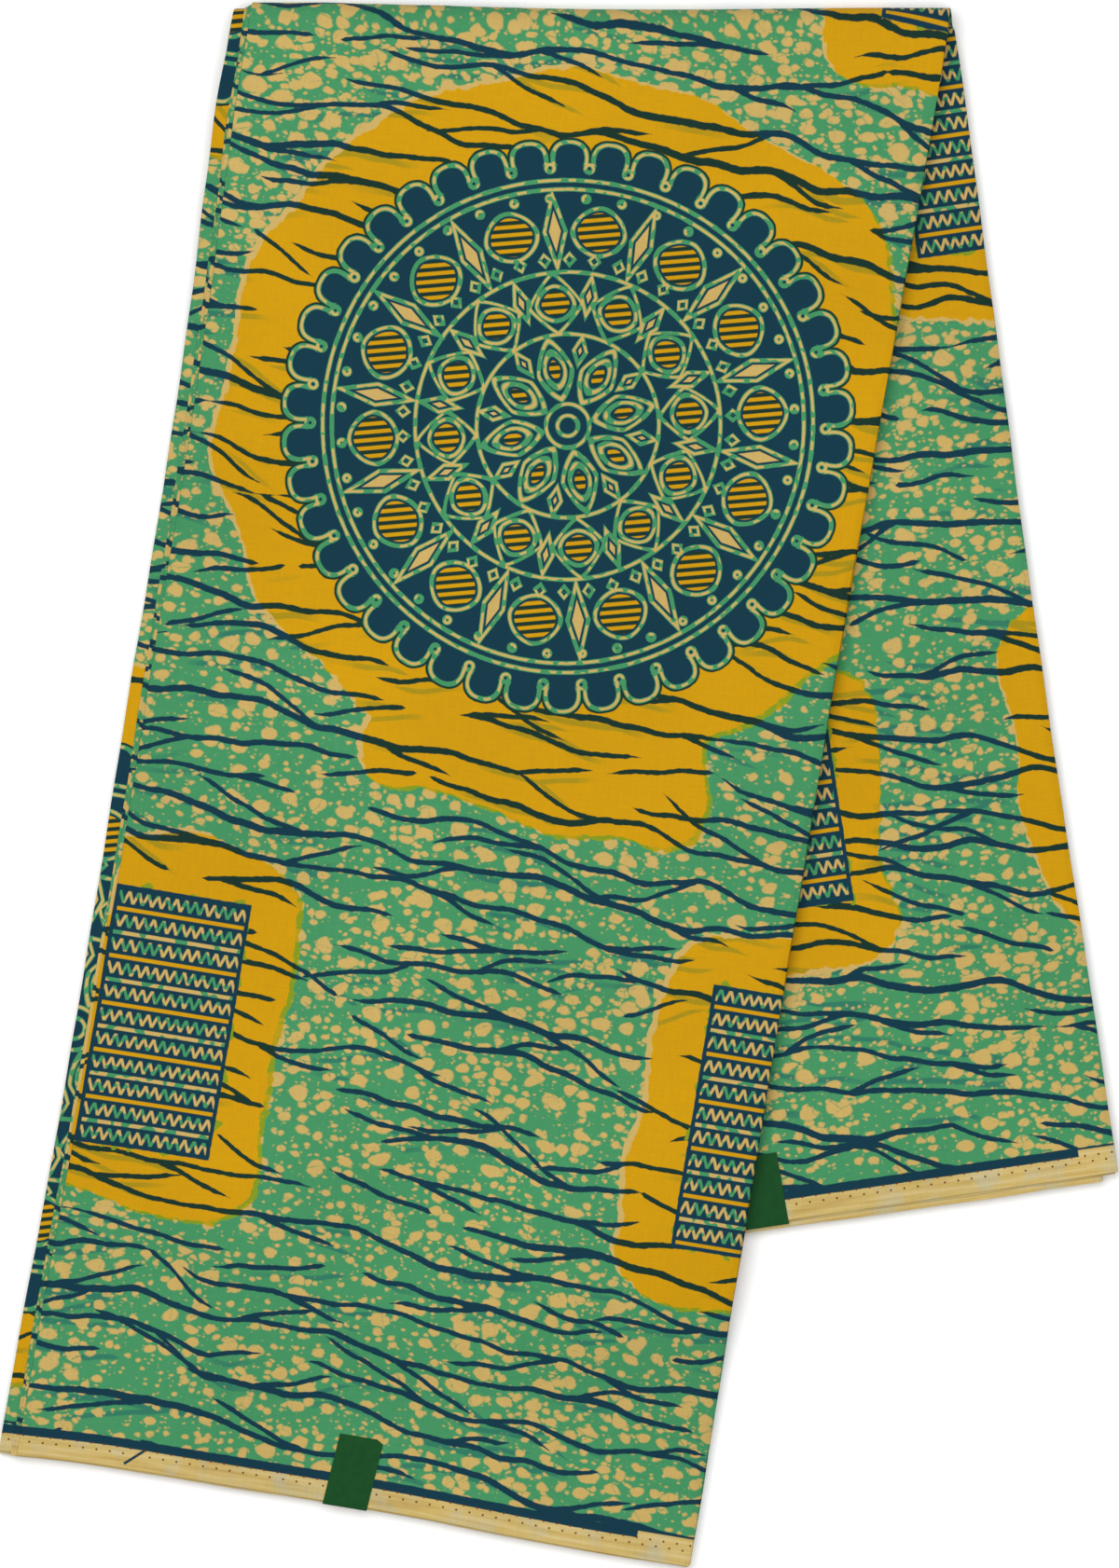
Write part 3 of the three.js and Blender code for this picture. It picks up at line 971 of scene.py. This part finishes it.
# The selvedge, in mm from its edge. The bare box in its stripe starts and ends at these places
# along the cloth, and moves by its shift, one way at the front and the other way at the back.
SELVEDGE_BAND = 8.8
SELVEDGE_STRIPE = 4.0
BARE_BOX = (128.5, 161.0)
BARE_BOX_SHIFT = -4.5
BARE_BOX_DEPTH = 3.0
STREAK_LENGTH = 38.0
STREAK_WIDTH = 2.1
MARK_PLACE = (-97.2, 6.2)
MARK_TILT = math.radians(41.5)
MARK_HALF_LENGTH = 6.6
MARK_HALF_WIDTH = 0.6
PIN_SPACING = 5.9
PIN_HALF = 0.46
PIN_ROWS = ((6.3, 0.0), (8.9, 0.5))

# Real threads are 0.35 mm apart, and are drawn about 0.9 mm apart so that they show.
THREAD = 1 / 0.9
THREAD_LENGTH = 1 / 9.0


def printed_cotton(context):
    """Wax print cotton: plain-woven cotton, resist-dyed and starched. It gives crisp dark strokes
    over a mottled ground, faint thread streaks and a low, soft sheen."""
    name = "wax_print_cotton_plain_woven"
    if name in bpy.data.materials:
        return bpy.data.materials[name]
    colours = context.scene.print_colours
    sizes = context.scene.bundle_sizes
    material, add = new_material(name)
    dye = {key: (*getattr(colours, key), 1.0) for key in PrintColours.__annotations__}

    flat = add("VectorMath:SCALE", add("UVMap", uv_map=CLOTH_UV), Scale=1 / MM)
    u = add("SeparateXYZ", flat)
    v = u.node.outputs[1]
    stretch = add("SIGN", v)

    strokes_tree = strokes_group()
    layout_tree = layout_group()
    layout = add("Group", u, v, node_tree=layout_tree).node.outputs
    slip = add("MULTIPLY_ADD", stretch, YELLOW_SLIP_ALONG[1], YELLOW_SLIP_ALONG[0])
    yellow_at = add("SUBTRACT", u, slip), add("SUBTRACT", v, YELLOW_SLIP)
    yellow = add("Group", *yellow_at, node_tree=layout_tree).node.outputs["Patch"]
    strokes = add("Group", u, v, node_tree=strokes_tree)
    cream = add("Group", u, v, node_tree=bubbles_group())
    rosette = add("Group", layout["X"], layout["Y"], node_tree=rosette_group()).node.outputs
    panel_at = add("SUBTRACT", v, PANEL_START)
    panel = add("Group", u, panel_at, node_tree=panel_group()).node.outputs
    bleed = mottled(add, flat, 3.6, 1.0, 0.8)

    def bled(depth, amount):
        return add("MULTIPLY_ADD", bleed, amount, depth)

    # Ground, and ghosts of strokes under it.
    ghost_at = [add("SUBTRACT", axis, off) for axis, off in zip((u, v), GHOST_SLIP)]
    ghost = mask(add, add("Group", *ghost_at, node_tree=strokes_tree), 1.6)
    ghost = add("MULTIPLY", ghost, mask(add, mottled(add, flat, 55.0, 0.0, 1.0, -0.07), 8.0))
    ground = add("Mix", add("MULTIPLY", ghost, 0.8), dye["ground"], dye["ghost"])
    ground = add("Mix", cream, ground, dye["bubble"])
    gold = add("Mix", add("MULTIPLY", ghost, 0.6), dye["patch"], dye["ghost_on_patch"])

    # Yellow patches slip a little off the place reserved for them: pale cotton shows on one
    # side and yellow over green on the other.
    reserved = mask(add, layout["Patch"])
    ragged = mottled(add, flat, 7.0, 2.0)
    on_patch = mask(add, add("MULTIPLY_ADD", ragged, 3.2, yellow))
    over_green = add("Mix", add("MULTIPLY", cream, 0.6), dye["overlap"], dye["patch"])
    colour = add("Mix", reserved, ground, dye["bubble"])
    colour = add("Mix", on_patch, colour, add("Mix", reserved, over_green, gold))
    stroke_colour = add("Mix", on_patch, dye["stroke"], dye["stroke_on_patch"])
    colour = paint(add, colour, bled(strokes, 1.0), stroke_colour)

    # Linework: cream with green edges, and broken by green.
    broken = mask(add, mottled(add, flat, 5.0, 0.0, 1.0, -0.05), 40.0)
    pale_line = add("Mix", broken, dye["bubble"], dye["ground"])
    slanted = add("DIVIDE", add("MULTIPLY_ADD", u, 0.25, v), HATCH_PITCH)
    hatch = add("SUBTRACT", add("PINGPONG", slanted, 0.5), 0.26)
    hatched = paint(add, dye["stroke_on_patch"], hatch, dye["patch"], 9.0)

    base = rosette["base"]
    colour = paint(add, colour, bled(base, 0.6), dye["stroke_on_patch"])
    colour = paint(add, colour, add("SUBTRACT", base, 1.0), dye["stroke"])
    disc = mask(add, base)
    for depth, fill in (
        (add("ADD", bled(rosette["line"], 0.5), LINE_EDGE), dye["ground"]),
        (rosette["hatch"], hatched),
        (rosette["bubble"], dye["bubble"]),
        (rosette["ground"], dye["ground"]),
        (rosette["line"], pale_line),
    ):
        colour = paint(add, colour, depth, fill, within=disc)

    # Panels: a frayed rim, a dark ground, and zigzags and bars within a dark frame.
    in_panel = layout["Panel"]
    frayed = add("MULTIPLY_ADD", add("SUBTRACT", ragged, 0.06), 14.0, in_panel)
    colour = paint(add, colour, frayed, dye["overlap"])
    colour = paint(add, colour, bled(in_panel, 0.6), dye["stroke"])
    inside = mask(add, add("SUBTRACT", in_panel, PANEL_FRAME))
    band = add("FRACT", add("MULTIPLY_ADD", panel_at, 0.5 / PANEL_BAND, 0.25))
    bar_colour = paint(add, dye["patch"], add("SUBTRACT", band, 0.5), pale_line, 40.0)
    colour = paint(add, colour, panel["line"], pale_line, 2.6, inside)
    colour = paint(add, colour, panel["bar"], bar_colour, within=inside)

    # Selvedges: a dark stripe, then a bare band with two rows of pin holes.
    front = add("SUBTRACT", sizes.front_length / MM, v)
    from_edge = add("MINIMUM", front, add("ADD", v, sizes.back_length / MM))

    def near_edge(limit):
        return add("SUBTRACT", limit, from_edge)

    stripe = near_edge(bled(SELVEDGE_BAND + SELVEDGE_STRIPE, 0.6))
    colour = paint(add, colour, stripe, dye["stroke"])
    bare_band = mask(add, near_edge(bled(SELVEDGE_BAND, 0.3)))
    # A bare box stands in the stripe at its right end.
    box_start = add("MULTIPLY_ADD", stretch, BARE_BOX_SHIFT, BARE_BOX[0])
    box = add("MINIMUM", add("SUBTRACT", u, box_start), add("SUBTRACT", BARE_BOX[1], u))
    box = add("MULTIPLY", mask(add, box), mask(add, near_edge(SELVEDGE_BAND + BARE_BOX_DEPTH)))
    bare_band = add("MAXIMUM", bare_band, box)
    # The selvedge is slightly curled: streaks of painted highlight and painted shade run along it, for
    # the light and shade on its curl.
    smudge = mask(add, mottled(add, flat, 14.0, 3.0, 1.0, -0.10), 5.0)
    streak_at = zip((u, from_edge), (STREAK_LENGTH, STREAK_WIDTH))
    streak_at = add("CombineXYZ", *(add("DIVIDE", axis, size) for axis, size in streak_at))
    streak = mottled(add, streak_at, 1.0, 2.0)
    bare = dye["selvedge"]
    # Painted highlight and painted shade streaks go into the bare band; the smudge is a real mark.
    for amount, tone in (
        (add("MULTIPLY_ADD", streak, 2.6, 0.05, use_clamp=True), "painted_highlight_streak"),
        (add("MULTIPLY_ADD", streak, -2.6, -0.15, use_clamp=True), "painted_shade_streak"),
        (add("MULTIPLY", smudge, 0.4), "smudge"),
    ):
        bare = add("Mix", amount, bare, dye[tone])
    colour = add("Mix", bare_band, colour, bare)
    # A printer's mark: one short slanted stroke across the front selvedge's bare band.
    mark_at = (add("SUBTRACT", axis, at) for axis, at in zip((u, front), MARK_PLACE))
    mark_at = add("CombineXYZ", *mark_at)
    mark = []
    for angle, half in ((MARK_TILT, MARK_HALF_LENGTH), (MARK_TILT + math.pi / 2, MARK_HALF_WIDTH)):
        off = add("VectorMath:DOT_PRODUCT", mark_at, (math.cos(angle), math.sin(angle), 0.0))
        mark.append(add("SUBTRACT", half, add("ABSOLUTE", off)))
    colour = paint(add, colour, add("MINIMUM", *mark), dye["stroke"])
    for row_from_edge, shift in PIN_ROWS:
        along = add("FRACT", add("MULTIPLY_ADD", u, 1 / PIN_SPACING, shift))
        along = add("MULTIPLY_ADD", along, PIN_SPACING, -PIN_SPACING / 2)
        hole = add("CombineXYZ", along, near_edge(row_from_edge))
        hole = add("SUBTRACT", PIN_HALF, add("VectorMath:LENGTH", hole))
        colour = paint(add, colour, hole, dye["pin_hole"])

    threads = []
    for scale in ((THREAD, THREAD_LENGTH, 0.0), (THREAD_LENGTH, THREAD, 0.0)):
        threads.append(mottled(add, add("VectorMath:MULTIPLY", flat, scale), 1.0, 0.0))
    threads = add("ADD", *threads)
    shade = add("MULTIPLY_ADD", threads, 0.08, 1.0)
    shade = add("MULTIPLY", shade, mottled(add, flat, 90.0, 2.0, 0.14, 0.82))
    colour = add("VectorMath:SCALE", colour, Scale=shade)

    rough = add("MULTIPLY_ADD", threads, 0.08, 0.78)
    height = mottled(add, flat, 26.0, 1.0, 2.0, add("MULTIPLY", threads, 0.06))
    bump = add("Bump", Strength=0.5, Distance=MM, Height=height)
    shader = add(
        "BsdfPrincipled", Base_Color=colour, Roughness=rough, Normal=bump,
        Sheen_Weight=0.02, Sheen_Roughness=0.5, Specular_IOR_Level=0.08,
    )
    add("OutputMaterial", Surface=shader)
    return material


def label_paper(context):
    """Printed label paper: a smooth dyed sheet with a low varnish. It gives an even dark green
    with a soft shine and slight cockles where it is stuck down."""
    name = "label_paper_varnished"
    if name in bpy.data.materials:
        return bpy.data.materials[name]
    colours = context.scene.print_colours
    material, add = new_material(name)
    place = add("VectorMath:SCALE", add("UVMap", uv_map=CLOTH_UV), Scale=1 / MM)
    mottle = mottled(add, place, 3.5, 3.0)
    fibre = mottled(add, place, 0.5, 1.0)
    dyes = [(*dye, 1.0) for dye in (colours.label, colours.label_mottle)]
    colour = add("Mix", add("ADD", mottle, 0.5), *dyes)
    rough = add("MULTIPLY_ADD", fibre, 0.15, 0.575)
    height = add("MULTIPLY_ADD", mottle, 0.25, add("MULTIPLY", fibre, 0.03))
    bump = add("Bump", Strength=0.5, Distance=MM, Height=height)
    shader = add(
        "BsdfPrincipled", Base_Color=colour, Roughness=rough, Normal=bump, Specular_IOR_Level=0.07
    )
    add("OutputMaterial", Surface=shader)
    return material


# Stage.
PICTURE_HEIGHT = 1682
MM_PER_PIXEL = 0.4072
CAMERA_HEIGHT = 6.0
CAMERA_ROLL = 0.46
CAMERA_AT = (-0.0006, 0.0010)
SENSOR_HEIGHT = 36.0
FLOOR_SIZE = 12.0
FLOOR_DROP = 0.0001
WORLD_STRENGTH = 0.30
LIGHTS = (
    # name, place, size, power
    ("key", (-0.35, 0.35, 2.3), 2.4, 58.0),
    ("fill", (1.2, -0.9, 2.8), 1.6, 14.0),
)


def pale_floor():
    """Matt painted board: an even near-white that takes the bundle's soft shadow."""
    material, add = new_material("floor_matt_board")
    place = add("TexCoord", out=3)
    grain = add("TexNoise", Vector=place, Scale=160.0, Detail=2.0, noise_dimensions="3D")
    colour = add("Mix", grain, (0.95, 0.95, 0.95, 1.0), (0.98, 0.98, 0.98, 1.0))
    shader = add("BsdfPrincipled", Base_Color=colour, Roughness=0.9, Specular_IOR_Level=0.1)
    add("OutputMaterial", Surface=shader)
    return material


def add_light(context, name, place, size, power):
    data = bpy.data.lights.new(name, "AREA")
    data.shape = "DISK"
    data.size = size
    data.energy = power
    light = bpy.data.objects.new(name, data)
    light.location = place
    light.rotation_euler = (-Vector(place)).to_track_quat("-Z", "Y").to_euler()
    context.collection.objects.link(light)


def add_camera(context):
    """A camera straight above, so far up that the bundle's height hardly shifts its outline."""
    data = bpy.data.cameras.new("camera")
    data.sensor_fit = "VERTICAL"
    data.sensor_height = SENSOR_HEIGHT
    data.lens = SENSOR_HEIGHT * CAMERA_HEIGHT / (PICTURE_HEIGHT * MM_PER_PIXEL * MM)
    data.clip_end = 50.0
    camera = bpy.data.objects.new("camera", data)
    camera.location = (*CAMERA_AT, CAMERA_HEIGHT)
    camera.rotation_euler = (0, 0, math.radians(CAMERA_ROLL))
    context.collection.objects.link(camera)
    context.scene.camera = camera


class BUNDLE_OT_stage(bpy.types.Operator):
    """Set the floor, the lights and the camera that looks straight down"""
    bl_idname = "bundle.stage"
    bl_label = "Stage"

    def execute(self, context):
        bpy.ops.object.select_all(action="DESELECT")
        bpy.ops.mesh.primitive_plane_add(size=FLOOR_SIZE, location=(0, 0, -FLOOR_DROP))
        floor = context.object
        floor.name = "floor"
        floor.data.materials.append(pale_floor())

        for light in LIGHTS:
            add_light(context, *light)
        world = bpy.data.worlds.new("studio")
        world.use_nodes = True
        background = world.node_tree.nodes["Background"]
        background.inputs["Color"].default_value = (1.0, 1.0, 1.0, 1.0)
        background.inputs["Strength"].default_value = WORLD_STRENGTH
        context.scene.world = world
        context.scene.view_settings.view_transform = "Standard"
        add_camera(context)
        return {"FINISHED"}


class BUNDLE_PT_panel(bpy.types.Panel):
    """Buttons for the bundle's pieces"""
    bl_label = "Folded cloth"
    bl_idname = "BUNDLE_PT_panel"
    bl_space_type = "VIEW_3D"
    bl_region_type = "UI"
    bl_category = "Folded cloth"

    def draw(self, context):
        for operator in OPERATORS:
            self.layout.operator(operator.bl_idname)
        for group in (context.scene.bundle_sizes, context.scene.print_colours):
            for key in type(group).__annotations__:
                self.layout.prop(group, key)


OPERATORS = (
    BUNDLE_OT_stage,
    BUNDLE_OT_front_stretch,
    BUNDLE_OT_back_stretch,
    BUNDLE_OT_hidden_layers,
    BUNDLE_OT_labels,
)
CLASSES = (BundleSizes, PrintColours, *OPERATORS, BUNDLE_PT_panel)


def register():
    for cls in CLASSES:
        bpy.utils.register_class(cls)
    bpy.types.Scene.bundle_sizes = PointerProperty(type=BundleSizes)
    bpy.types.Scene.print_colours = PointerProperty(type=PrintColours)


def unregister():
    del bpy.types.Scene.print_colours
    del bpy.types.Scene.bundle_sizes
    for cls in reversed(CLASSES):
        bpy.utils.unregister_class(cls)


def main():
    register()
    bpy.ops.bundle.stage()
    bpy.ops.bundle.front_stretch()
    bpy.ops.bundle.back_stretch()
    bpy.ops.bundle.hidden_layers()
    bpy.ops.bundle.labels()
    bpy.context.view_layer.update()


if __name__ == "__main__":
    main()
